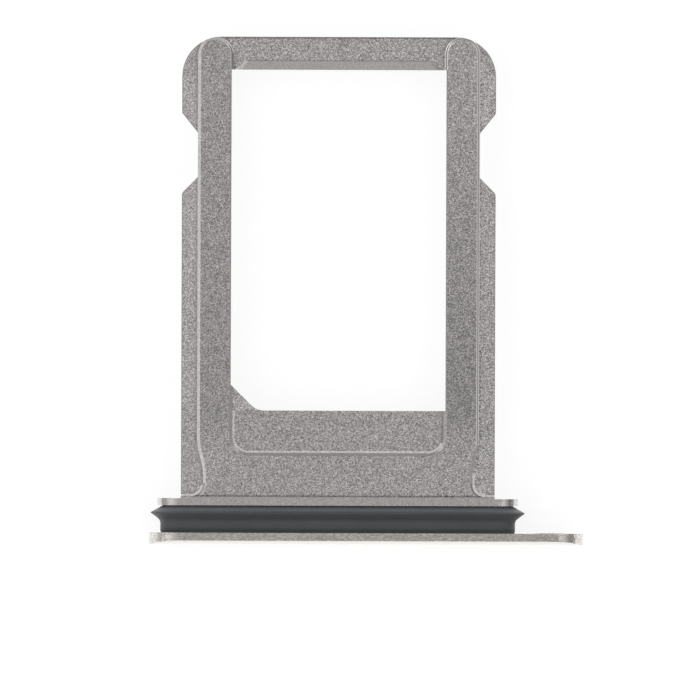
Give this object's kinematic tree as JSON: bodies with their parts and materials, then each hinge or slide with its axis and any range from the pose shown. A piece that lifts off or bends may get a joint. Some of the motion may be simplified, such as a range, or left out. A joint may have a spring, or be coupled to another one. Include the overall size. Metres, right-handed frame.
{
  "type": "sim card tray",
  "caption": "Metal tray that carries a phone's nano card to its reader, with side rails and detent notches, a crowned door with an ejector-pin hole, and a lipped rubber seal.",
  "frame": {"origin": "middle of the whole tray in plan, at the height of the door's lower edge", "axes": "+X along the door towards its ejector-hole end, +Y the way the tray is pushed into the phone, +Z out of the side that the card's contacts face"},
  "size_m": [0.0144, 0.017, 0.0019],
  "materials": {
    "frame_steel": "fine blasted warm grey steel",
    "seal_rubber": "matt moulded dark grey rubber",
    "door_steel": "satin warm silver steel"
  },
  "bodies": {
    "root": {"card_frame": "frame_steel", "seal_ring": "seal_rubber", "door": "door_steel"}
  },
  "joints": []
}
